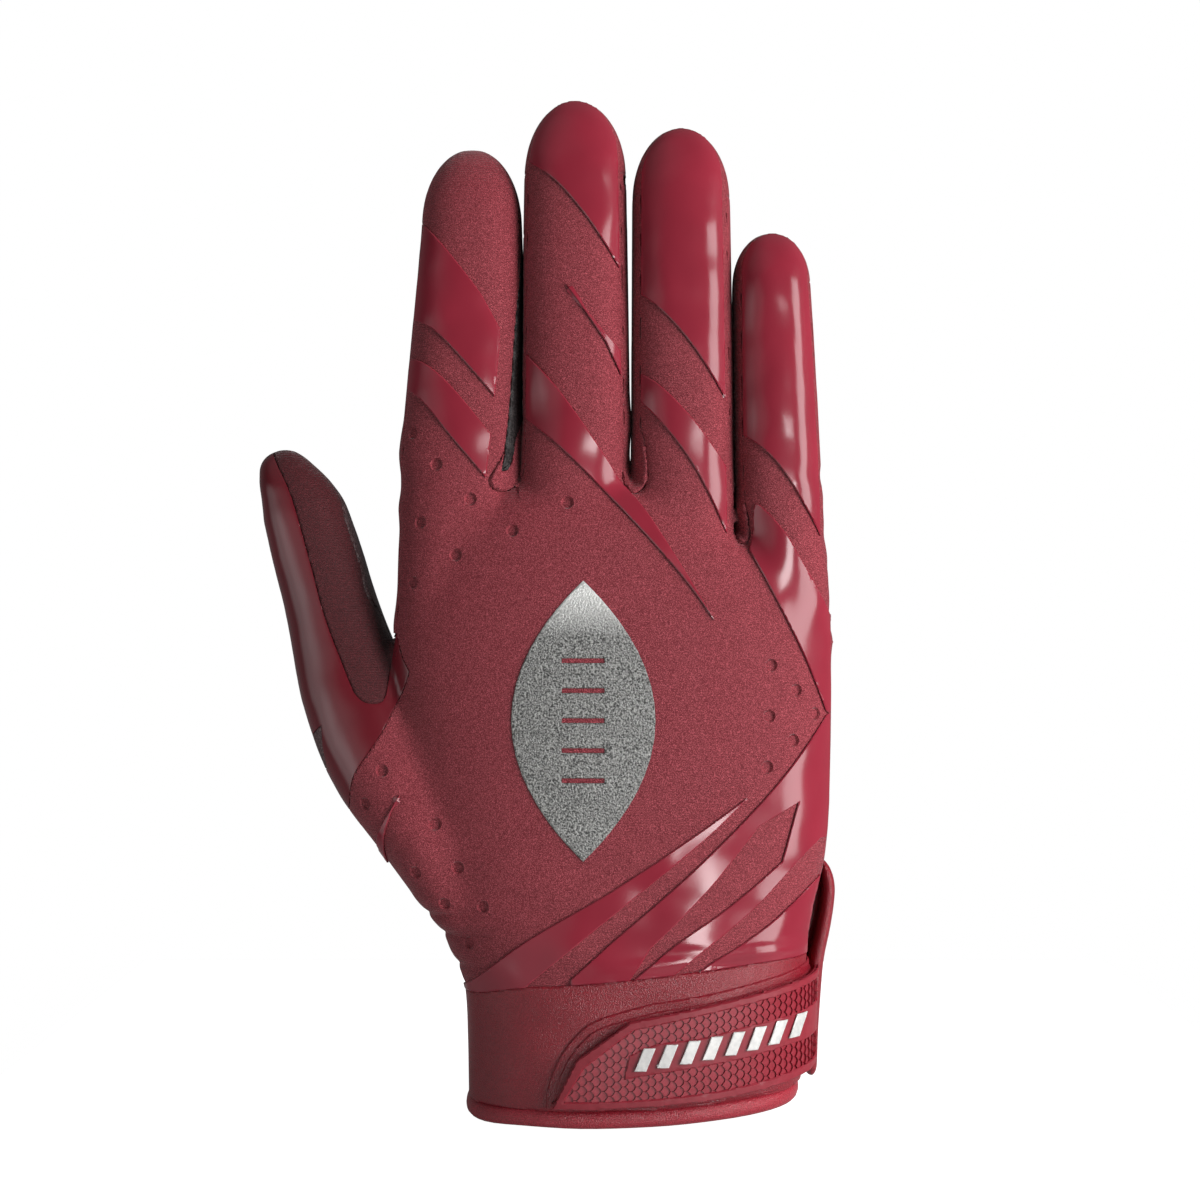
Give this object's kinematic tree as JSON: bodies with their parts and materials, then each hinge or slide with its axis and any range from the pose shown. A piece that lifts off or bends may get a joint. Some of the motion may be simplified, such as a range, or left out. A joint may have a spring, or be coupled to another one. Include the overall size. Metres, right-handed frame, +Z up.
{
  "type": "football glove",
  "caption": "Right-hand football receiver's glove with knitted back, glossy raised overlays, tacky palm and strapped cuff.",
  "frame": {"origin": "centre of the wrist opening, level with the cuff's lower edge", "axes": "+Z up along the fingers, -Y out of the back of the hand, -X towards the thumb"},
  "size_m": [0.13, 0.0476, 0.224],
  "materials": {
    "knit_fabric": "matte speckled knit",
    "gloss_film": "glossy raised film",
    "tack_palm": "dark tacky silicone",
    "cuff_leather": "pebbled",
    "strap_relief": "moulded scale relief",
    "silver_print": "speckled reflective silver"
  },
  "bodies": {
    "root": {"back_panel": "knit_fabric", "thumb_side": "knit_fabric", "side_panel_index": "knit_fabric", "fourchette_index_middle": "knit_fabric", "fourchette_middle_ring": "knit_fabric", "fourchette_ring_little": "knit_fabric", "side_panel_little": "knit_fabric", "thumb_back": "gloss_film", "overlay_index_upper": "gloss_film", "overlay_index_lower": "gloss_film", "overlay_middle_tip": "gloss_film", "overlay_middle_swoosh": "gloss_film", "overlay_ring_tip": "gloss_film", "overlay_ring_band": "gloss_film", "overlay_little_tip": "gloss_film", "overlay_wrist_upper": "gloss_film", "overlay_little_side": "gloss_film", "overlay_wrist_lower": "gloss_film", "overlay_wrist_corner": "gloss_film", "overlay_middle_sliver": "gloss_film", "overlay_thumb_sliver": "gloss_film", "thumb_palm": "tack_palm", "palm_panel": "tack_palm", "cuff_band": "cuff_leather", "cuff_hem": "cuff_leather", "loop_patch": "cuff_leather", "vent_flap": "cuff_leather", "strap": "strap_relief", "emblem": "silver_print"}
  },
  "joints": []
}
